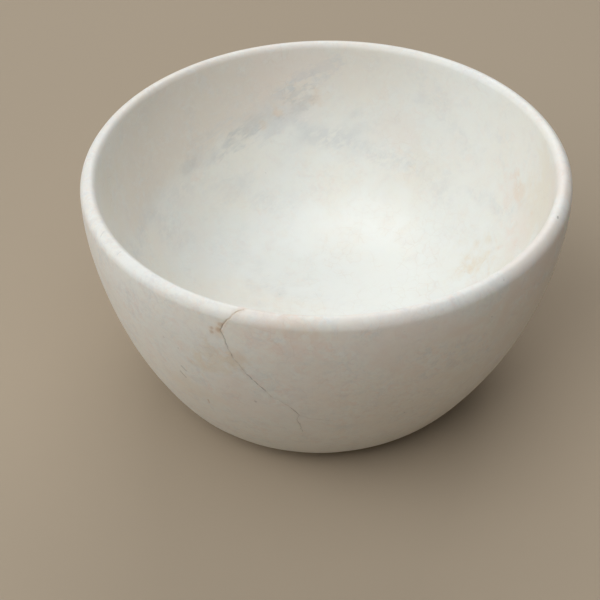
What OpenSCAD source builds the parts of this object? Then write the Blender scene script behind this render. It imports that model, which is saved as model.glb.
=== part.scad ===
// Shaving bowl, turned from one block of marble and open at the top.
// Outside, a long side curve runs into a round foot corner and a flat foot.
// Inside, a side curve runs into a wide bottom curve and a flat floor.
// The origin is at the centre of the foot's underside.

/* [Outside] */
// Widest diameter, just below the rim
bowl_d = 110; // [108:1:114]
// Overall height
bowl_h = 58; // [54:1:60]
// Diameter of the flat foot that the bowl stands on
foot_d = 60; // [58:1:64]
// Radius of the curve between the side and the foot
foot_round = 14; // [12:0.5:16]

/* [Rim] */
// Thickness of the wall at the rim
rim_t = 3.8; // [3.6:0.1:4.4]
// Radius of the rim's outer edge
rim_out_round = 2.2; // [1.2:0.1:2.2]
// Radius of the rim's inner edge
rim_in_round = 1.4; // [0.6:0.1:1.4]

/* [Inside] */
// Thickness of the stone under the floor
floor_t = 8; // [7:0.5:10]
// Diameter of the flat middle of the floor
floor_d = 38; // [34:1:40]
// Radius of the curve between the floor and the wall
floor_round = 26; // [23:1:27]

/* [Hidden] */
$fn = 180;

// How far a straight stretch of the outline may stray from the true curve
outline_sag = 0.01;

rim_r = bowl_d / 2;
mouth_r = rim_r - rim_t;
foot_r = foot_d / 2;
floor_r = floor_d / 2;

// Heights at which the side curves start, straight down, below the rim
out_top = bowl_h - rim_out_round;
in_top = bowl_h - rim_in_round;

// How far the centres of the lower curves lie in from the side and below its top
out_run = rim_r - foot_r;
out_drop = out_top - foot_round;
in_run = mouth_r - floor_r;
in_drop = in_top - floor_t - floor_round;

// Radii of the two side curves, and the angles that they turn through
out_side = side_radius(out_run, out_drop, foot_round);
in_side = side_radius(in_run, in_drop, floor_round);
out_turn = atan2(out_drop, out_side - out_run);
in_turn = atan2(in_drop, in_side - in_run);

// Radius of a side curve that starts straight down and runs smoothly into a
// lower curve of radius round, whose centre lies run in and drop below the start
function side_radius(run, drop, round) =
    (run ^ 2 + drop ^ 2 - round ^ 2) / (2 * (run - round));

// Points on an arc about [x, z], from one angle up to, but not at, the other:
// the next stretch of the outline starts at its end
function arc(x, z, r, from, to) =
    let (steps = max(3, ceil(abs(to - from) / (2 * acos(1 - outline_sag / r)))))
    [for (i = [0 : steps - 1])
        let (a = from + (to - from) * i / steps)
        [x + r * cos(a), z + r * sin(a)]];

// Half of the bowl's section, from the axis out along the foot, up the outside,
// over the rim and down the inside to the floor
function half_section() = concat(
    [[0, 0]],
    arc(foot_r, foot_round, foot_round, -90, -out_turn),
    arc(rim_r - out_side, out_top, out_side, -out_turn, 0),
    arc(rim_r - rim_out_round, out_top, rim_out_round, 0, 90),
    arc(mouth_r + rim_in_round, in_top, rim_in_round, 90, 180),
    arc(mouth_r - in_side, in_top, in_side, 0, -in_turn),
    arc(floor_r, floor_t + floor_round, floor_round, -in_turn, -90),
    [[floor_r, floor_t], [0, floor_t]]
);

// The whole bowl: one solid piece of marble
module bowl() {
    color([0.87, 0.86, 0.83])
        rotate_extrude()
            polygon(half_section());
}

bowl();
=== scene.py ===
import math
import random

import bpy
import numpy as np
from mathutils import Matrix, Vector


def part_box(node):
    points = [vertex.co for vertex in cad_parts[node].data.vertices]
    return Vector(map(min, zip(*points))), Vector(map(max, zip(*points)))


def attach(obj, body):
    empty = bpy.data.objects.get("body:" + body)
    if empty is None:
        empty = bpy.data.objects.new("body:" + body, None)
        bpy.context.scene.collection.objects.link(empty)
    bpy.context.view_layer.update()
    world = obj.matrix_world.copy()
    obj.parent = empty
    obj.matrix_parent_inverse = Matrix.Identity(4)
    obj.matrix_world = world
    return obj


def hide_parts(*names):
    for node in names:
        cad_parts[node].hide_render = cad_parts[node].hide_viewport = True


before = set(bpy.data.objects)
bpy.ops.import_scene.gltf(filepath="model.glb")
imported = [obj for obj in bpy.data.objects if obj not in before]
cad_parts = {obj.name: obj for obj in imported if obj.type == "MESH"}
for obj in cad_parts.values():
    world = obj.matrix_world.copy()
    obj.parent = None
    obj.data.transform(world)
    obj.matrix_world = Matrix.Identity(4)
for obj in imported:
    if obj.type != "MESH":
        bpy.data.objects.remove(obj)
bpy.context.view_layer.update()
lowCorner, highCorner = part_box("bowl")
mm = 0.001

rimRadius = min(highCorner.x - lowCorner.x, highCorner.y - lowCorner.y) / 2
bowlHeight = highCorner.z - lowCorner.z


# the stone's section, the same arcs as the solid it replaces
section = dict(
    slack=0.15 * mm,        # room kept inside the solid's box for the hand-ground unevenness
    footRadius=30 * mm,
    footRound=14 * mm,
    rimThickness=3.8 * mm,
    rimOuterRound=2.2 * mm,
    rimInnerRound=1.4 * mm,
    floorThickness=8 * mm,
    floorRadius=19 * mm,
    floorRound=26 * mm,
    ringStep=1.2 * mm,      # spacing of the rings on the long curves
    rimStep=0.35 * mm,      # and on the rim's tight ones
    turns=288,              # columns round the bowl
)

# how far the bowl is from a true turned shape
unevenness = dict(
    lean=1.6 * mm,          # the foot sits this far to the left of the rim
    broadSize=45 * mm, broadDepth=0.22 * mm,
    fineSize=6 * mm, fineDepth=0.08 * mm,
    shoulder=0.65 * mm,     # how far the outer edge of the rim is rubbed in, and from what height up
    shoulderFrom=47 * mm,
    shoulderSide=-10,       # degrees from the front to where it is rubbed most
)

# the natural fissure: each line is (degrees round from the front, height in mm), from its start
fissure = dict(
    lines=dict(
        lip=[(-19, 58), (-20, 57.8), (-21, 57.2), (-22, 56), (-23, 54.5)],
        main=[(-23, 54.5), (-23.5, 53), (-22.5, 50), (-21.5, 46.5), (-19.5, 43), (-17, 40),
              (-15, 37.5), (-13.5, 35), (-11.5, 34), (-8, 30), (-7.5, 29)],
        down=[(-7.5, 29), (-8, 27), (-7.5, 25), (-7, 21), (-7, 18)],
        across=[(-7.5, 29), (-5.5, 28), (-2.5, 27.5), (1, 27), (3.5, 26.5)],
    ),
    carved=dict(lip=0.5, main=1, down=0.7, across=0.5),     # share of the groove's depth
    stride=0.85 * mm,        # length of each straight bit of the line
    jitter=0.17 * mm,        # how far the bits stray to the side
    bands=[4.5, 2.8, 1.6, 0.8],    # half widths in mm that are subdivided, one after the other
    groove=0.13 * mm,       # depth
    grooveWidth=0.14 * mm,  # half width
    seed=11,
)


def sideRadius(run, drop, roundRadius):
    return (run ** 2 + drop ** 2 - roundRadius ** 2) / (2 * (run - roundRadius))


# the arcs of the section as (centre radius, centre height, radius, start degrees, end degrees)
def sectionArcs(s):
    outer = rimRadius - s["slack"]
    mouth = outer - s["rimThickness"]
    top = bowlHeight - s["slack"] / 3
    outTop, inTop = top - s["rimOuterRound"], top - s["rimInnerRound"]
    run, drop = outer - s["footRadius"], outTop - s["footRound"]
    outSide = sideRadius(run, drop, s["footRound"])
    outTurn = math.degrees(math.atan2(drop, outSide - run))
    floorTop = s["floorThickness"] + s["floorRound"]
    run, drop = mouth - s["floorRadius"], inTop - floorTop
    inSide = sideRadius(run, drop, s["floorRound"])
    inTurn = math.degrees(math.atan2(drop, inSide - run))
    return dict(
        footCorner=(s["footRadius"], s["footRound"], s["footRound"], -90, -outTurn),
        outside=(outer - outSide, outTop, outSide, -outTurn, 0),
        rimOuter=(outer - s["rimOuterRound"], outTop, s["rimOuterRound"], 0, 90),
        rimInner=(mouth + s["rimInnerRound"], inTop, s["rimInnerRound"], 90, 180),
        inside=(mouth - inSide, inTop, inSide, 0, -inTurn),
        floorCorner=(s["floorRadius"], floorTop, s["floorRound"], -inTurn, -90),
    )


def straightPoints(start, end, step):
    count = max(1, round(math.dist(start, end) / step))
    return [(start[0] + (end[0] - start[0]) * i / count, start[1] + (end[1] - start[1]) * i / count)
            for i in range(count)]


def arcPoints(arc, step):
    centreR, centreZ, radius, start, end = arc
    count = max(3, math.ceil(math.radians(abs(end - start)) * radius / step))
    angles = [math.radians(start + (end - start) * i / count) for i in range(count)]
    return [(centreR + radius * math.cos(a), centreZ + radius * math.sin(a)) for a in angles]


# half of the section, from the middle of the foot out, up, over the rim and down to the floor
def sectionPoints(s):
    arcs = sectionArcs(s)
    points = straightPoints((0, 0), (s["footRadius"], 0), 2 * s["ringStep"])
    for name, arc in arcs.items():
        points += arcPoints(arc, s["rimStep"] if name.startswith("rim") else s["ringStep"])
    floorHeight = s["floorThickness"]
    return points + straightPoints((s["floorRadius"], floorHeight), (0, floorHeight),
                                   2 * s["ringStep"]) + [(0, floorHeight)]


# a vertex is extruded along the section and spun round the axis
def turnBowl(s):
    bpy.ops.object.select_all(action="DESELECT")
    bpy.ops.mesh.primitive_plane_add(size=mm, location=(0, 0, 0))
    piece = bpy.context.object
    piece.name = piece.data.name = "marbleBowl"
    bpy.ops.object.mode_set(mode="EDIT")
    bpy.ops.mesh.select_all(action="SELECT")
    bpy.ops.mesh.merge(type="CENTER")
    points = sectionPoints(s)
    for (r0, z0), (r1, z1) in zip(points, points[1:]):
        bpy.ops.mesh.extrude_region_move(TRANSFORM_OT_translate={"value": (r1 - r0, 0, z1 - z0)})
    bpy.ops.mesh.select_all(action="SELECT")
    bpy.ops.mesh.spin(steps=s["turns"], angle=2 * math.pi, center=(0, 0, 0), axis=(0, 0, 1))
    bpy.ops.mesh.select_all(action="SELECT")
    bpy.ops.mesh.remove_doubles(threshold=0.01 * mm)
    bpy.ops.mesh.normals_make_consistent(inside=False)
    bpy.ops.object.mode_set(mode="OBJECT")
    return piece


def vertexPlaces(mesh):
    places = np.empty(len(mesh.vertices) * 3)
    mesh.vertices.foreach_get("co", places)
    return places.reshape(-1, 3)


def faceCentres(mesh):
    centres = np.empty(len(mesh.polygons) * 3)
    mesh.polygons.foreach_get("center", centres)
    return centres.reshape(-1, 3)


# radius of the outside at a height, by the arc that passes there
def outsideRadius(arcs, height):
    centreR, centreZ, radius = (arcs["rimOuter"] if height > arcs["rimOuter"][1] else arcs["outside"])[:3]
    return centreR + math.sqrt(max(0, radius ** 2 - (height - centreZ) ** 2))


# one line of the fissure as points on the outside, in short bits that stray a little
def fissurePath(line, arcs, draw):
    top = bowlHeight - section["slack"] / 3
    path = []
    for (turn0, height0), (turn1, height1) in zip(line, line[1:]):
        across = math.radians(turn1 - turn0) * rimRadius
        up = (height1 - height0) * mm
        length = math.hypot(across, up)
        count = max(1, round(length / fissure["stride"]))
        for i in range(count):
            stray = draw.uniform(-1, 1) * fissure["jitter"] if path else 0
            share = i / count
            turn = math.radians(turn0 + (turn1 - turn0) * share) - stray * up / length / rimRadius
            height = min((height0 + (height1 - height0) * share) * mm + stray * across / length, top)
            path.append((turn, height))
    path.append((math.radians(line[-1][0]), line[-1][1] * mm))
    return np.array([(math.sin(t) * outsideRadius(arcs, z), -math.cos(t) * outsideRadius(arcs, z), z)
                     for t, z in path])


# signed distance to the side of a path on the outside, and the share of the way along it
def sideOfPath(places, path):
    out = places * (1, 1, 0)
    out /= np.maximum(np.linalg.norm(out, axis=1), 1e-9)[:, None]
    starts, steps = path[:-1], np.diff(path, axis=0)
    lengths = np.linalg.norm(steps, axis=1)
    travelled = np.concatenate([[0], np.cumsum(lengths)])
    best = np.full(len(places), 1.0)
    side, along = np.full(len(places), 1.0), np.zeros(len(places))
    for k, (start, step) in enumerate(zip(starts, steps)):
        offset = places - start
        share = np.clip(offset @ step / lengths[k] ** 2, 0, 1)
        offset -= share[:, None] * step
        distance = np.linalg.norm(offset, axis=1)
        near = distance < best
        best[near] = distance[near]
        sign = np.where((np.cross(step, out) * offset).sum(axis=1) < 0, -1, 1)
        side[near] = (sign * distance)[near]
        along[near] = ((travelled[k] + share * lengths[k]) / travelled[-1])[near]
    return side, along


# new vertices from subdividing lie on chords: this puts them back on the arcs
def settleOnArcs(mesh, arcs):
    places = vertexPlaces(mesh)
    radius = np.hypot(places[:, 0], places[:, 1])
    height = places[:, 2]
    onRim = height > arcs["rimOuter"][1]
    isOutside = (radius > arcs["rimOuter"][0]) & (height > arcs["footCorner"][1])
    for name, mask in (("outside", isOutside & ~onRim), ("rimOuter", isOutside & onRim)):
        centreR, centreZ, arcRadius = arcs[name][:3]
        dr, dz = radius[mask] - centreR, height[mask] - centreZ
        scale = arcRadius / np.hypot(dr, dz)
        newRadius = centreR + dr * scale
        places[mask, 0] *= newRadius / radius[mask]
        places[mask, 1] *= newRadius / radius[mask]
        places[mask, 2] = centreZ + dz * scale
    mesh.vertices.foreach_set("co", places.ravel())
    mesh.update()


# the mesh is made finer in bands along the fissure
def refineAlong(piece, paths):
    bpy.context.view_layer.objects.active = piece
    for band in fissure["bands"]:
        centres = faceCentres(piece.data)
        nearest = np.min([np.abs(sideOfPath(centres, path)[0]) for path in paths], axis=0)
        bpy.ops.object.mode_set(mode="EDIT")
        bpy.ops.mesh.select_mode(type="FACE")
        bpy.ops.mesh.select_all(action="DESELECT")
        bpy.ops.object.mode_set(mode="OBJECT")
        piece.data.polygons.foreach_set("select", nearest < band * mm)
        bpy.ops.object.mode_set(mode="EDIT")
        bpy.ops.mesh.subdivide(number_cuts=1)
        bpy.ops.object.mode_set(mode="OBJECT")


def weightGroup(piece, name, weights):
    group = piece.vertex_groups.new(name=name)
    for index in np.flatnonzero(weights > 0.001):
        group.add([int(index)], float(weights[index]), "REPLACE")
    return group.name


def displace(piece, name, depth, group, direction="NORMAL", texture=None):
    modifier = piece.modifiers.new(name, "DISPLACE")
    modifier.strength = depth
    modifier.mid_level = 0.5 if texture else 0
    modifier.direction = direction
    modifier.vertex_group = group
    if texture:
        modifier.texture = texture
        modifier.texture_coords = "LOCAL"
    bpy.ops.object.modifier_apply(modifier=modifier.name)


def cloudTexture(name, size, depth):
    texture = bpy.data.textures.new(name, "CLOUDS")
    texture.noise_scale = size
    texture.noise_depth = depth
    return texture


def carveFissure(piece, paths):
    places = vertexPlaces(piece.data)
    depth = np.zeros(len(places))
    for name, path in paths.items():
        side, along = sideOfPath(places, path)
        for label, values in (("Side", side / mm), ("Along", along)):
            attribute = piece.data.attributes.new(name + label, "FLOAT", "POINT")
            attribute.data.foreach_set("value", values.astype(np.float32))
        fade = 1 - along if name in ("down", "across") else np.ones(len(places))
        share = fissure["carved"][name] * np.exp(-(side / fissure["grooveWidth"]) ** 2)
        depth = np.maximum(depth, fade * share)
    displace(piece, "fissure", -fissure["groove"], weightGroup(piece, "fissure", depth))


# 1 on the outside and underneath, fading across the rim to 0 inside
def markOuter(piece, s, arcs):
    places = vertexPlaces(piece.data)
    depth = [outsideRadius(arcs, z) - math.hypot(x, y) for x, y, z in places]
    outer = np.clip(1 - np.array(depth) / s["rimThickness"], 0, 1)
    outer[places[:, 2] < s["floorThickness"] / 2] = 1
    attribute = piece.data.attributes.new("outer", "FLOAT", "POINT")
    attribute.data.foreach_set("value", outer.astype(np.float32))


# years of hands have rubbed the outer edge of the rim in a little
def rubShoulder(mesh, u):
    places = vertexPlaces(mesh)
    radius = np.maximum(np.hypot(places[:, 0], places[:, 1]), mm)
    rise = np.clip((places[:, 2] - u["shoulderFrom"]) / (bowlHeight - u["shoulderFrom"]), 0, 1) ** 2
    wall = section["rimThickness"]
    across = np.clip((radius - rimRadius + wall) / wall, 0, 1)
    turn = np.arctan2(places[:, 0], -places[:, 1]) - math.radians(u["shoulderSide"])
    inward = u["shoulder"] * rise * across ** 2 * (3 - 2 * across) * (0.65 + 0.35 * np.cos(turn))
    places[:, :2] *= (1 - inward / radius)[:, None]
    mesh.vertices.foreach_set("co", places.ravel())
    mesh.update()


def grindByHand(piece, u):
    places = vertexPlaces(piece.data)
    height = places[:, 2]
    radius = np.hypot(places[:, 0], places[:, 1])
    drop = (1 - height / bowlHeight) ** 2
    displace(piece, "lean", -u["lean"], weightGroup(piece, "lean", drop), direction="X")
    offFoot = np.clip(height / (4 * mm), 0, 1)
    offCrest = np.clip((bowlHeight - height) / (3 * mm), 0, 1)
    soft = weightGroup(piece, "soft", offFoot * offCrest)
    displace(piece, "broad", u["broadDepth"], soft, texture=cloudTexture("broad", u["broadSize"], 0))
    displace(piece, "fine", u["fineDepth"], soft, texture=cloudTexture("fine", u["fineSize"], 1))


bowl = turnBowl(section)
arcs = sectionArcs(section)
draw = random.Random(fissure["seed"])
paths = {name: fissurePath(line, arcs, draw) for name, line in fissure["lines"].items()}
print("bowl turned:", len(bowl.data.polygons), "faces")
refineAlong(bowl, list(paths.values()))
settleOnArcs(bowl.data, arcs)
print("refined along the fissure:", len(bowl.data.polygons), "faces")
markOuter(bowl, section, arcs)
carveFissure(bowl, paths)
rubShoulder(bowl.data, unevenness)
grindByHand(bowl, unevenness)
bowl.vertex_groups.clear()
bpy.ops.object.shade_smooth()
print("fissure carved, surface ground")


def addNode(tree, kind, **settings):
    node = tree.nodes.new("ShaderNode" + kind)
    for name, value in settings.items():
        setattr(node, name, value)
    return node


def mathNode(tree, operation, a, b=None, clamp=False):
    node = addNode(tree, "Math", operation=operation, use_clamp=clamp)
    for socket, value in zip(node.inputs, (a, b)):
        if isinstance(value, bpy.types.NodeSocket):
            tree.links.new(value, socket)
        elif value is not None:
            socket.default_value = value
    return node.outputs[0]


def mapRange(tree, value, low, high, start=0, end=1, smooth=True):
    node = addNode(tree, "MapRange", interpolation_type="SMOOTHSTEP" if smooth else "LINEAR")
    for name, setting in (("Value", value), ("From Min", low), ("From Max", high),
                          ("To Min", start), ("To Max", end)):
        if isinstance(setting, bpy.types.NodeSocket):
            tree.links.new(setting, node.inputs[name])
        else:
            node.inputs[name].default_value = setting
    return node.outputs["Result"]


def noise(tree, vector, scale, detail=4, roughness=0.55, distortion=0.0, seed=None):
    node = addNode(tree, "TexNoise")
    if seed is not None:
        node.noise_dimensions = "4D"
        if isinstance(seed, bpy.types.NodeSocket):
            tree.links.new(seed, node.inputs["W"])
        else:
            node.inputs["W"].default_value = seed
    tree.links.new(vector, node.inputs["Vector"])
    for name, value in (("Scale", scale), ("Detail", detail), ("Roughness", roughness),
                        ("Distortion", distortion)):
        if isinstance(value, bpy.types.NodeSocket):
            tree.links.new(value, node.inputs[name])
        else:
            node.inputs[name].default_value = value
    return node.outputs["Fac"]


def tint(tree, base, colour, mask):
    node = addNode(tree, "Mix", data_type="RGBA")
    for socket, value in ((node.inputs[0], mask), (node.inputs[6], base), (node.inputs[7], colour)):
        if isinstance(value, bpy.types.NodeSocket):
            tree.links.new(value, socket)
        elif isinstance(value, (int, float)):
            socket.default_value = value
        else:
            socket.default_value = (*value, 1)
    return node.outputs[2]


def vectorMath(tree, operation, a, b=None):
    node = addNode(tree, "VectorMath", operation=operation)
    for socket, value in zip(node.inputs, (a, b)):
        if isinstance(value, bpy.types.NodeSocket):
            tree.links.new(value, socket)
        elif value is not None:
            socket.default_value = value
    return node.outputs["Value"] if operation in ("DOT_PRODUCT", "LENGTH") else node.outputs["Vector"]


def noiseColour(tree, vector, scale, detail=2, roughness=0.5, distortion=0):
    node = addNode(tree, "TexNoise")
    tree.links.new(vector, node.inputs["Vector"])
    for name, value in (("Detail", detail), ("Roughness", roughness), ("Distortion", distortion)):
        node.inputs[name].default_value = value
    if isinstance(scale, bpy.types.NodeSocket):
        tree.links.new(scale, node.inputs["Scale"])
    else:
        node.inputs["Scale"].default_value = scale
    return node.outputs["Color"]


# an empty node group with its sockets; the sizes inside it are in millimetres
def newGroup(name, inputs, outputs):
    tree = bpy.data.node_groups.new(name, "ShaderNodeTree")
    for label, kind, default in inputs:
        socket = tree.interface.new_socket(name=label, in_out="INPUT", socket_type="NodeSocket" + kind)
        if default is not None:
            socket.default_value = default
    for label, kind in outputs:
        tree.interface.new_socket(name=label, in_out="OUTPUT", socket_type="NodeSocket" + kind)
    start, end = tree.nodes.new("NodeGroupInput"), tree.nodes.new("NodeGroupOutput")
    return tree, start.outputs, end.inputs


# a ragged spot of colour round one place; the shared cloud breaks its edge
def makePatch():
    tree, given, out = newGroup("patch", [
        ("Vector", "Vector", None), ("Cloud", "Float", 0.5), ("Centre", "Vector", (0, 0, 0)),
        ("Reach", "Float", 20), ("Break", "Float", 1)], [("Mask", "Float")])
    away = vectorMath(tree, "LENGTH", vectorMath(tree, "SUBTRACT", given["Vector"], given["Centre"]))
    away = mathNode(tree, "DIVIDE", away, given["Reach"])
    ragged = mathNode(tree, "MULTIPLY", mathNode(tree, "SUBTRACT", given["Cloud"], 0.5), given["Break"])
    tree.links.new(mapRange(tree, mathNode(tree, "ADD", away, ragged), 0.15, 1, 1, 0), out["Mask"])
    return tree


# a sheet of colour that crosses the stone near one place, broken up by the cloud
def makeSheet():
    tree, given, out = newGroup("veinSheet", [
        ("Vector", "Vector", None), ("Cloud", "Float", 0.5), ("Centre", "Vector", (0, 0, 0)),
        ("Facing", "Vector", (0, 0, 1)), ("Thickness", "Float", 4), ("Reach", "Float", 30),
        ("Seed", "Float", 0)], [("Mask", "Float")])
    offset = vectorMath(tree, "SUBTRACT", given["Vector"], given["Centre"])
    wander = mathNode(tree, "SUBTRACT", noise(tree, given["Vector"], 0.06, 3, seed=given["Seed"]), 0.5)
    away = mathNode(tree, "ADD", vectorMath(tree, "DOT_PRODUCT", offset, given["Facing"]),
                    mathNode(tree, "MULTIPLY", wander, marble["sheetWander"]))
    sheet = mapRange(tree, mathNode(tree, "ABSOLUTE", away), 0, given["Thickness"], 1, 0)
    reach = mapRange(tree, vectorMath(tree, "LENGTH", offset),
                     mathNode(tree, "MULTIPLY", given["Reach"], 0.35), given["Reach"], 1, 0)
    broken = mapRange(tree, given["Cloud"], 0.36, 0.62)
    tree.links.new(mathNode(tree, "MULTIPLY", mathNode(tree, "MULTIPLY", sheet, reach), broken), out["Mask"])
    return tree


# all the stone on one side of a bedding plane, within reach of one place
def makeBed():
    tree, given, out = newGroup("bed", [
        ("Vector", "Vector", None), ("Cloud", "Float", 0.5), ("Centre", "Vector", (0, 0, 0)),
        ("Facing", "Vector", (0, 0, 1)), ("Softness", "Float", 5), ("Reach", "Float", 40)],
        [("Mask", "Float")])
    offset = vectorMath(tree, "SUBTRACT", given["Vector"], given["Centre"])
    ragged = mathNode(tree, "MULTIPLY", mathNode(tree, "SUBTRACT", given["Cloud"], 0.5),
                      marble["bedWander"])
    above = mathNode(tree, "ADD", vectorMath(tree, "DOT_PRODUCT", offset, given["Facing"]), ragged)
    side = mapRange(tree, above, mathNode(tree, "MULTIPLY", given["Softness"], -1), given["Softness"])
    reach = mapRange(tree, vectorMath(tree, "LENGTH", offset),
                     mathNode(tree, "MULTIPLY", given["Reach"], 0.5), given["Reach"], 1, 0)
    tree.links.new(mathNode(tree, "MULTIPLY", side, reach), out["Mask"])
    return tree


# a short hairline or nick between two places
def makeNick():
    tree, given, out = newGroup("nick", [
        ("Vector", "Vector", None), ("From", "Vector", (0, 0, 0)), ("To", "Vector", (1, 0, 0)),
        ("Width", "Float", 0.15)], [("Mask", "Float")])
    run = vectorMath(tree, "SUBTRACT", given["To"], given["From"])
    bend = vectorMath(tree, "MULTIPLY", vectorMath(tree, "SUBTRACT",
                      noiseColour(tree, given["Vector"], 0.9), (0.5, 0.5, 0.5)), (0.3, 0.3, 0.3))
    offset = vectorMath(tree, "SUBTRACT", vectorMath(tree, "ADD", given["Vector"], bend), given["From"])
    reached = mathNode(tree, "DIVIDE", vectorMath(tree, "DOT_PRODUCT", offset, run),
                       vectorMath(tree, "DOT_PRODUCT", run, run), clamp=True)
    nearest = addNode(tree, "VectorMath", operation="SCALE")
    tree.links.new(run, nearest.inputs[0])
    tree.links.new(reached, nearest.inputs["Scale"])
    away = vectorMath(tree, "LENGTH", vectorMath(tree, "SUBTRACT", offset, nearest.outputs["Vector"]))
    tree.links.new(mapRange(tree, away, mathNode(tree, "MULTIPLY", given["Width"], 0.3),
                            given["Width"], 1, 0), out["Mask"])
    return tree


# small blotches of two colours and a grey, each from its own channel of one noise
def makeMottle():
    tree, given, out = newGroup("mottle", [("Vector", "Vector", None), ("Size", "Float", 3)],
                                [("Pink", "Float"), ("Pale", "Float"), ("Grey", "Float")])
    channels = addNode(tree, "SeparateColor")
    scale = mathNode(tree, "DIVIDE", 1, given["Size"])
    tree.links.new(noiseColour(tree, given["Vector"], scale, 4, 0.6, 0.7), channels.inputs["Color"])
    for name, channel in (("Pink", "Red"), ("Pale", "Green"), ("Grey", "Blue")):
        tree.links.new(mapRange(tree, channels.outputs[channel], 0.49, 0.62), out[name])
    return tree


# the dark line down one arm of the fissure, from the distances kept on the mesh
def makeFissureLine():
    tree, given, out = newGroup("fissureLine", [
        ("Vector", "Vector", None), ("Side", "Float", 0), ("Along", "Float", 0), ("Width", "Float", 0.1),
        ("Fade From", "Float", 0.5), ("Start", "Float", 1), ("Seed", "Float", 0)],
        [("Line", "Float"), ("Halo", "Float")])
    waver = mathNode(tree, "SUBTRACT", noise(tree, given["Vector"], 2.4, 3, seed=given["Seed"]), 0.5)
    side = mathNode(tree, "ADD", given["Side"], mathNode(tree, "MULTIPLY", waver, 0.22))
    side = mathNode(tree, "ABSOLUTE", side)
    swell = mapRange(tree, noise(tree, given["Vector"], 0.42, 2, seed=given["Seed"]), 0.32, 0.68, 0.35, 1.25)
    width = mathNode(tree, "MULTIPLY", given["Width"], swell)
    fade = mapRange(tree, given["Along"], given["Fade From"], 1, 1, 0)
    fade = mathNode(tree, "MULTIPLY", fade, mathNode(tree, "LESS_THAN", side, 20))
    fade = mathNode(tree, "MULTIPLY", fade, mapRange(tree, given["Along"], 0.1, 0.6, given["Start"], 1))
    faint = mapRange(tree, swell, 0.4, 1.0, 0.45, 1)
    line = mapRange(tree, side, mathNode(tree, "MULTIPLY", width, 0.25), width, 1, 0)
    halo = mapRange(tree, side, 0, mathNode(tree, "MULTIPLY", width, 8), 1, 0)
    tree.links.new(mathNode(tree, "MULTIPLY", mathNode(tree, "MULTIPLY", line, faint), fade), out["Line"])
    tree.links.new(mathNode(tree, "MULTIPLY", halo, fade), out["Halo"])
    return tree


def placeGroup(tree, group, vector, **values):
    node = tree.nodes.new("ShaderNodeGroup")
    node.node_tree = group
    tree.links.new(vector, node.inputs["Vector"])
    for name, value in values.items():
        label = "".join(" " + c if c.isupper() else c for c in name).title()
        if isinstance(value, bpy.types.NodeSocket):
            tree.links.new(value, node.inputs[label])
        else:
            node.inputs[label].default_value = value
    return node.outputs


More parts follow.
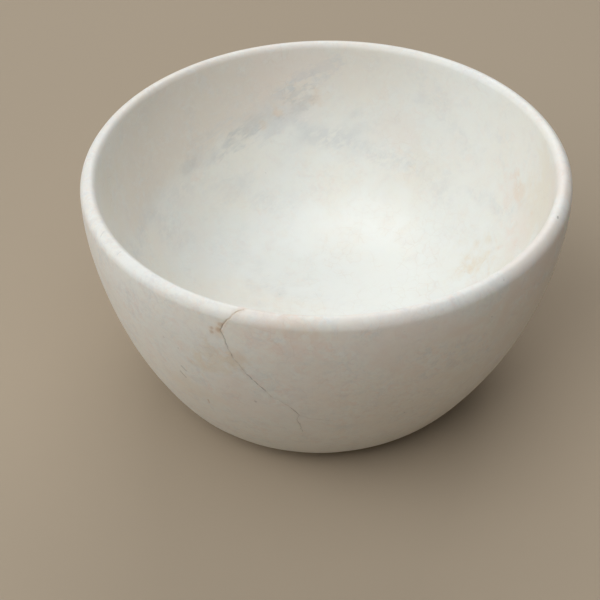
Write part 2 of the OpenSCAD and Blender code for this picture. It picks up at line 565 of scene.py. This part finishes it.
# places and lengths are in mm from the middle of the foot; a strength of 1 hides the stone below
marble = dict(
    cream=(0.885, 0.865, 0.800),
    cool=(0.870, 0.885, 0.855),
    colours=dict(
        grey=(0.68, 0.70, 0.715),
        slate=(0.55, 0.575, 0.585),
        white=(0.885, 0.905, 0.88),
        # the colour of the painted warm shade on the outside, deepest by the foot
        paintedWarmShade=(0.80, 0.765, 0.69),
        beige=(0.83, 0.765, 0.685),
        pink=(0.86, 0.74, 0.67),
        ochre=(0.80, 0.68, 0.50),
        orange=(0.78, 0.56, 0.36),
        rust=(0.52, 0.34, 0.20),
        dark=(0.20, 0.18, 0.165),
    ),
    roughness=(0.40, 0.56),
    # size in mm, then how strong each colour is
    mottle=[(2.7, dict(Pink=0.44, Pale=0.55, Grey=0.32)), (1.1, dict(Pink=0.24, Pale=0.35, Grey=0.22))],
    grainWay=(0.80, 0.46, 0.39),    # the way the grey veins are drawn out, and how far
    grainPull=0.66,
    # the beige bed above the grey band, and two paler ones in the left and back walls
    beds=[
        dict(centre=(-32, 34, 34), facing=(-0.24, 0.02, 0.97),
             softness=4, reach=44, colour="beige", strength=0.95),
        dict(centre=(-42, 2, 30), facing=(-0.9, -0.3, 0.3),
             softness=16, reach=44, colour="beige", strength=0.45),
        dict(centre=(-2, 52, 44), facing=(-0.1, 0.1, 0.98),
             softness=12, reach=44, colour="beige", strength=0.4),
    ],
    # the grey band and its stragglers, then the sheets that come out on the far sides
    sheets=[
        dict(centre=(-24, 40, 36), facing=(-0.24, 0.02, 0.97), thickness=6,
             reach=34, colour="grey", strength=0.3),
        dict(centre=(4, 46, 34), facing=(-0.3, 0.1, 0.95), thickness=5,
             reach=22, colour="grey", strength=0.24),
        dict(centre=(32, 38, 44), facing=(0.6, -0.2, 0.77), thickness=5,
             reach=20, colour="grey", strength=0.26),
        dict(centre=(-24, 34, 24), facing=(0.1, 0.5, 0.86), thickness=5,
             reach=30, colour="grey", strength=0.2),
        dict(centre=(10, 54, 32), facing=(0.35, 0.1, 0.93), thickness=6,
             reach=46, colour="grey", strength=0.42),
        dict(centre=(50, 22, 26), facing=(0.1, 0.5, 0.86), thickness=4,
             reach=34, colour="grey", strength=0.36),
        dict(centre=(-50, 14, 30), facing=(0.3, 0.3, 0.9), thickness=5,
             reach=32, colour="grey", strength=0.36),
        dict(centre=(0, 10, 2), facing=(0.5, 0.85, 0.1), thickness=5,
             reach=36, colour="grey", strength=0.34),
    ],
    # (place, reach, colour, strength)
    patches=[
        ((-34, 33, 34), 2.5, "slate", 0.28), ((-28, 38, 33), 2.7, "grey", 0.32),
        ((-22, 42, 35), 3.3, "slate", 0.26), ((-18, 45, 38), 3.2, "slate", 0.30),
        ((-12, 47, 36), 3.4, "grey", 0.42), ((-5, 49, 41), 2.7, "slate", 0.42),
        ((-6, 50, 45), 2.4, "slate", 0.40), ((-10, 49, 45), 2.4, "grey", 0.52),
        ((-4, 51, 49), 2.4, "grey", 0.48), ((2, 51, 51), 3.8, "grey", 0.40),
        ((-3, 47, 33), 3.2, "grey", 0.22), ((9, 46, 34), 2.5, "grey", 0.20),
        ((11, 45, 30), 3.3, "grey", 0.16), ((10, 48, 39), 1.8, "grey", 0.28),
        ((-23, 37, 23), 3.2, "grey", 0.22), ((-43, 19, 33), 3.8, "grey", 0.13),
        ((44, 24, 46), 2.1, "grey", 0.27), ((26, 43, 46), 2.2, "grey", 0.27),
        ((-12, 48, 40), 2.6, "orange", 0.26), ((-15, 46, 37), 2.2, "orange", 0.22),
        ((0, 50, 43), 3.0, "orange", 0.20), ((-33, 33, 30), 2.4, "pink", 0.36),
        ((21, 43, 36), 9, "pink", 0.26), ((46, 14, 37), 7, "pink", 0.34),
        ((47, 2, 33), 9, "pink", 0.40), ((49, 2, 39), 1.4, "orange", 0.34),
        ((49, -2, 46), 14, "ochre", 0.36), ((33, 13, 14), 8, "ochre", 0.18),
        ((38, 9, 20), 7, "ochre", 0.42), ((42, -6, 24), 10, "ochre", 0.46),
        ((44, 4, 30), 5, "pink", 0.52), ((40, -14, 26), 8, "pink", 0.48),
        ((47, 10, 40), 5, "orange", 0.24), ((36, 2, 16), 6, "pink", 0.30),
        ((51, -9, 58), 12, "pink", 0.40), ((44, -33, 58), 20, "pink", 0.50),
        ((14, -54, 58), 16, "pink", 0.32), ((-14, -53, 57), 8, "pink", 0.50),
        ((-7, -53, 57), 5, "orange", 0.22), ((-7, -54, 52), 7, "pink", 0.42),
        ((-19, -51, 47), 3.6, "orange", 0.30), ((-24, -49, 43), 7, "ochre", 0.36),
        ((-20, -48, 33), 10, "pink", 0.30), ((-4, -52, 38), 13, "pink", 0.20),
        ((-30, -41, 28), 9, "ochre", 0.26), ((10, -50, 30), 16, "beige", 0.36),
        # the big beige patch at (46, -26, 32) is painted shade: it darkens and warms the outer right side,
        # away from the lights
        ((3, -49, 24), 2.7, "grey", 0.36), ((46, -26, 32), 34, "beige", 0.60),
        ((-8, 54, 50), 18, "pink", 0.30), ((30, 42, 24), 16, "ochre", 0.26),
        ((-44, 24, 18), 16, "pink", 0.26), ((-52, 4, 48), 12, "ochre", 0.20),
        ((16, 10, 10), 44, "white", 0.75),
    ],
    # stains at the fissure's bend, on the outside: (degrees round, height), reach, colour, strength
    stains=[
        ((-24, 53), 1.0, "rust", 0.65), ((-25.5, 52), 0.8, "rust", 0.60), ((-25.5, 53), 0.7, "rust", 0.50),
        ((-23.5, 54.5), 0.7, "rust", 0.45), ((-24.5, 52.5), 2.2, "orange", 0.30),
    ],
    # nicks, on the outside: (degrees round, height) of both ends, width, colour, strength
    nicks=[
        ((-61.5, 57.6), (-62, 58), 0.22, "slate", 0.55),
        ((-53.5, 57.7), (-53.5, 58), 0.20, "slate", 0.45),
        ((-36, 36.5), (-35, 35.5), 0.32, "dark", 0.45),
        ((-37, 34), (-36, 32.5), 0.32, "dark", 0.45),
        ((-31.5, 26.5), (-31.5, 25), 0.28, "rust", 0.55),
        ((63.5, 57.9), (64, 57.9), 0.32, "dark", 0.60),
        ((-67, 47.5), (-66.5, 47), 0.24, "slate", 0.45),
    ],
    mottleOn=dict(inside=0.42, outside=1.3),    # how much of the mottle shows on each side
    sheetWander=26,         # how far the vein sheets stray from flat
    bedWander=14,
    net=dict(scale=0.36, width=0.05, strength=0.12),            # the fine net of seams
    # painted shade and painted warm floor bounce on the outside
    paintedWarmShade=dict(strength=0.4, low=4, high=50, share=0.35),      # full below low, this share above high
    grain=dict(scale=1.6, strength=0.16),
    specks=dict(scale=0.9, start=0.80, full=0.84, strength=0.3),
    relief=dict(cloud=0.07, grain=0.012, marks=0.05, specks=0.03, strength=0.6),   # heights in mm
    gloss=dict(ior=1.55, subsurface=0.15, radius=(1.0, 0.8, 0.6), depth=3),        # depth in mm
    # each arm of the fissure: width, colour, strength, how it starts and where its end begins to fade
    arms=dict(lip=(0.15, "rust", 0.7, 0.7, 0.98), main=(0.135, "dark", 0.8, 0.6, 0.98),
              down=(0.12, "dark", 0.65, 1, 0.5), across=(0.11, "dark", 0.5, 1, 0.1)),
)


# the place in mm on the finished outside, at so many degrees round and mm up
def onSurface(piece, turn, height):
    way = Vector((math.sin(math.radians(turn)), -math.cos(math.radians(turn)), 0))
    place = way * outsideRadius(arcs, height * mm) + Vector((0, 0, height * mm))
    return piece.closest_point_on_mesh(place)[1] / mm


def makeMarble(piece, m):
    material = bpy.data.materials.new("honedMarble")
    material.use_nodes = True
    tree = material.node_tree
    shader = tree.nodes["Principled BSDF"]
    coordinates = addNode(tree, "TexCoord").outputs["Object"]
    mapping = addNode(tree, "Mapping")
    mapping.inputs["Scale"].default_value = (1 / mm,) * 3        # metres to millimetres
    tree.links.new(coordinates, mapping.inputs["Vector"])
    place = mapping.outputs["Vector"]
    patch, sheet, bed, mottle = makePatch(), makeSheet(), makeBed(), makeMottle()
    nick, fissureLine = makeNick(), makeFissureLine()
    shades = m["colours"]

    def lay(colour, shade, mask, strength):
        return tint(tree, colour, shade, mathNode(tree, "MULTIPLY", mask, strength))

    # clouds shared by all the patches and veins
    fineCloud = noise(tree, place, 0.36, 3, 0.5, 0.5, seed=2.0)
    coarseCloud = noise(tree, place, 0.13, 5, 0.58, 0.4, seed=7.0)
    grainRun = vectorMath(tree, "DOT_PRODUCT", place, m["grainWay"])
    drawnOut = addNode(tree, "VectorMath", operation="SCALE")
    drawnOut.inputs[0].default_value = m["grainWay"]
    tree.links.new(mathNode(tree, "MULTIPLY", grainRun, m["grainPull"]), drawnOut.inputs["Scale"])
    streaked = vectorMath(tree, "SUBTRACT", place, drawnOut.outputs["Vector"])
    streakCloud = noise(tree, streaked, 0.85, 4, 0.6, 0.4, seed=4.0)

    broad = mapRange(tree, noise(tree, place, 0.032, 3, 0.5, 0.3, seed=12.0), 0.38, 0.62)
    colour = tint(tree, m["cream"], m["cool"], broad)
    for b in m["beds"]:
        mask = placeGroup(tree, bed, place, cloud=coarseCloud, centre=b["centre"], facing=b["facing"],
                          softness=b["softness"], reach=b["reach"])["Mask"]
        colour = lay(colour, shades[b["colour"]], mask, b["strength"])

    # small blotches, strongest outside and where the clouds gather
    outer = addNode(tree, "Attribute", attribute_name="outer").outputs["Fac"]
    shown = mapRange(tree, outer, 0, 1, m["mottleOn"]["inside"], m["mottleOn"]["outside"])
    patchy = mathNode(tree, "MULTIPLY", mapRange(tree, coarseCloud, 0.38, 0.64, 0.3, 1), shown)
    for size, strengths in m["mottle"]:
        found = placeGroup(tree, mottle, place, size=size)
        for name, strength in strengths.items():
            shade = shades["white" if name == "Pale" else name.lower()]
            colour = lay(colour, shade, mathNode(tree, "MULTIPLY", found[name], patchy), strength)

    for seed, v in enumerate(m["sheets"]):
        mask = placeGroup(tree, sheet, place, cloud=streakCloud, centre=v["centre"], facing=v["facing"],
                          thickness=v["thickness"], reach=v["reach"], seed=1.7 * seed)["Mask"]
        colour = lay(colour, shades[v["colour"]], mask, v["strength"])
    warm = None
    stains = [(onSurface(piece, *spot), *rest) for spot, *rest in m["stains"]]
    for centre, reach, name, strength in m["patches"] + stains:
        space, cloud = place, fineCloud if reach < 9 else coarseCloud
        if name in ("grey", "slate"):
            space, cloud = streaked, streakCloud
            run = Vector(centre).dot(Vector(m["grainWay"])) * m["grainPull"]
            centre = Vector(centre) - run * Vector(m["grainWay"])
        mask = placeGroup(tree, patch, space, cloud=cloud,
                          centre=centre, reach=reach, **{"break": 3 if reach > 2 else 1.6})["Mask"]
        colour = lay(colour, shades[name], mask, strength)
        if reach > 6:
            warm = mask if warm is None else mathNode(tree, "MAXIMUM", warm, mask)

    # a fine net of seams, clearest in the warm patches
    bent = vectorMath(tree, "ADD", place, noiseColour(tree, place, 0.5, 2, 0.5, 0))
    net = addNode(tree, "TexVoronoi", feature="DISTANCE_TO_EDGE")
    net.inputs["Scale"].default_value = m["net"]["scale"]
    tree.links.new(bent, net.inputs["Vector"])
    seams = mapRange(tree, net.outputs["Distance"], 0, m["net"]["width"], 1, 0)
    seams = mathNode(tree, "MULTIPLY", seams, mapRange(tree, coarseCloud, 0.4, 0.6))
    seams = mathNode(tree, "MULTIPLY", seams, mapRange(tree, warm, 0, 0.6, 0.2, 1))
    colour = lay(colour, shades["rust"], seams, m["net"]["strength"])

    marks = None
    for start, end, width, name, strength in m["nicks"]:
        mask = placeGroup(tree, nick, place, width=width,
                          **{"from": onSurface(piece, *start), "to": onSurface(piece, *end)})["Mask"]
        colour = lay(colour, shades[name], mask, strength)
        marks = mask if marks is None else mathNode(tree, "MAXIMUM", marks, mask)
    for seed, (name, (width, shade, strength, start, fadeFrom)) in enumerate(m["arms"].items()):
        side = addNode(tree, "Attribute", attribute_name=name + "Side").outputs["Fac"]
        along = addNode(tree, "Attribute", attribute_name=name + "Along").outputs["Fac"]
        line = placeGroup(tree, fissureLine, place, side=side, along=along, width=width,
                          start=start, fadeFrom=fadeFrom, seed=seed)
        colour = lay(colour, shades["rust"], line["Halo"], 0.3 if shade == "rust" else 0.08)
        colour = lay(colour, shades[shade], line["Line"], strength)
        marks = mathNode(tree, "MAXIMUM", marks, line["Line"])

    # the outside is warmed and darkened, most of all low down: painted shade and painted warm bounce from
    # the floor
    height = addNode(tree, "SeparateXYZ")
    tree.links.new(place, height.inputs["Vector"])
    warmShadeSettings = m["paintedWarmShade"]
    low = mapRange(tree, height.outputs["Z"], warmShadeSettings["low"], warmShadeSettings["high"], 1, warmShadeSettings["share"])
    paintedWarmShade = mathNode(tree, "MULTIPLY", outer, mathNode(tree, "MULTIPLY", low,
                      mapRange(tree, coarseCloud, 0.3, 0.7, 0.6, 1)))
    colour = lay(colour, shades["paintedWarmShade"], paintedWarmShade, warmShadeSettings["strength"])

    grain = noise(tree, place, m["grain"]["scale"], 3, 0.7, seed=2.0)
    colour = lay(colour, m["cool"], mapRange(tree, grain, 0.5, 0.75), m["grain"]["strength"])
    dots = m["specks"]
    specks = mapRange(tree, noise(tree, place, dots["scale"], 1, 0.4, seed=6.0), dots["start"], dots["full"])
    colour = lay(colour, shades["dark"], specks, dots["strength"])
    tree.links.new(colour, shader.inputs["Base Color"])

    rough = mapRange(tree, coarseCloud, 0.3, 0.7, *m["roughness"])
    rough = mathNode(tree, "ADD", rough, mathNode(tree, "MULTIPLY", marks, 0.3))
    rough = mathNode(tree, "ADD", rough, mapRange(tree, grain, 0.3, 0.8, -0.03, 0.05), clamp=True)
    tree.links.new(rough, shader.inputs["Roughness"])

    high = m["relief"]
    relief = mathNode(tree, "MULTIPLY", fineCloud, high["cloud"])
    relief = mathNode(tree, "ADD", relief, mathNode(tree, "MULTIPLY", grain, high["grain"]))
    relief = mathNode(tree, "SUBTRACT", relief, mathNode(tree, "MULTIPLY", marks, high["marks"]))
    relief = mathNode(tree, "SUBTRACT", relief, mathNode(tree, "MULTIPLY", specks, high["specks"]))
    bump = addNode(tree, "Bump")
    bump.inputs["Distance"].default_value = mm                   # heights are in mm
    bump.inputs["Strength"].default_value = high["strength"]
    tree.links.new(relief, bump.inputs["Height"])
    tree.links.new(bump.outputs["Normal"], shader.inputs["Normal"])

    gloss = m["gloss"]
    shader.inputs["IOR"].default_value = gloss["ior"]
    shader.inputs["Subsurface Weight"].default_value = gloss["subsurface"]
    shader.inputs["Subsurface Radius"].default_value = gloss["radius"]
    shader.inputs["Subsurface Scale"].default_value = gloss["depth"] * mm
    return material


bowl.data.materials.clear()
bowl.data.materials.append(makeMarble(bowl, marble))
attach(bowl, "root")
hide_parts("bowl")
print("marble ready")

# a plain floor, a hair below the foot
ground = dict(size=3.2, drop=0.05 * mm, colour=(0.40, 0.325, 0.24), roughness=0.9)
bpy.ops.object.select_all(action="DESELECT")
bpy.ops.mesh.primitive_plane_add(size=ground["size"], location=(0, 0, -ground["drop"]))
floor = bpy.context.object
floor.name = "floor"
floorMaterial = bpy.data.materials.new("paleFloor")
floorMaterial.use_nodes = True
floorShader = floorMaterial.node_tree.nodes["Principled BSDF"]
floorShader.inputs["Base Color"].default_value = (*ground["colour"], 1)
floorShader.inputs["Roughness"].default_value = ground["roughness"]
floor.data.materials.append(floorMaterial)

# softboxes overhead, in front to the left, behind to the right, and low on the left; power in watts
studio = dict(
    sky=(0.95, 0.975, 1.0), skyStrength=0.04,
    backdrop=(0.62, 0.58, 0.52),        # what the camera sees past the floor; it lights nothing
    boxes=[
        dict(place=(0.03, -0.32, 1.35), size=1.5, power=10.0, colour=(0.97, 0.99, 1.0)),
        dict(place=(-0.73, -0.54, 1.07), size=1.0, power=7.2, colour=(0.98, 0.99, 0.98)),
        dict(place=(0.15, 1.1, 0.9), size=1.1, power=8.0, colour=(1.0, 0.99, 0.975)),
        dict(place=(-1.29, 0.3, 0.45), size=0.7, power=4.8, colour=(0.95, 0.985, 1.0)),
    ],
)
scene = bpy.context.scene
scene.world = bpy.data.worlds.new("softSky")
scene.world.use_nodes = True
worldTree = scene.world.node_tree
sky = worldTree.nodes["Background"]
sky.inputs["Color"].default_value = (*studio["sky"], 1)
sky.inputs["Strength"].default_value = studio["skyStrength"]
backdrop = addNode(worldTree, "Background")
backdrop.inputs["Color"].default_value = (*studio["backdrop"], 1)
either = addNode(worldTree, "MixShader")
worldTree.links.new(addNode(worldTree, "LightPath").outputs["Is Camera Ray"], either.inputs[0])
worldTree.links.new(sky.outputs[0], either.inputs[1])
worldTree.links.new(backdrop.outputs[0], either.inputs[2])
worldTree.links.new(either.outputs[0], worldTree.nodes["World Output"].inputs["Surface"])
for box in studio["boxes"]:
    bpy.ops.object.light_add(type="AREA", location=box["place"])
    softbox = bpy.context.object
    softbox.data.size = box["size"]
    softbox.data.energy = box["power"]
    softbox.data.color = box["colour"]
    softbox.rotation_euler = (-Vector(box["place"])).to_track_quat("-Z", "Y").to_euler()

# the camera stands in front and looks down into the bowl; distances are in rim radii
view = dict(lens=66, pitch=41.94, roll=-1.4, right=0.101, up=0.578, back=4.467)
lookDown = Matrix.Rotation(math.radians(90 - view["pitch"]), 3, "X")
turn = lookDown @ Matrix.Rotation(math.radians(view["roll"]), 3, "Z")
bpy.ops.object.camera_add()
camera = bpy.context.object
camera.data.lens = view["lens"]
camera.data.sensor_width = 36
camera.data.clip_start = 0.01
offset = Vector((view["right"], view["up"], -view["back"])) * rimRadius
camera.location = Vector((0, 0, bowlHeight)) - turn @ offset
camera.rotation_euler = turn.to_euler()
scene.camera = camera
scene.view_settings.view_transform = "Standard"
print("floor, lights and camera ready")
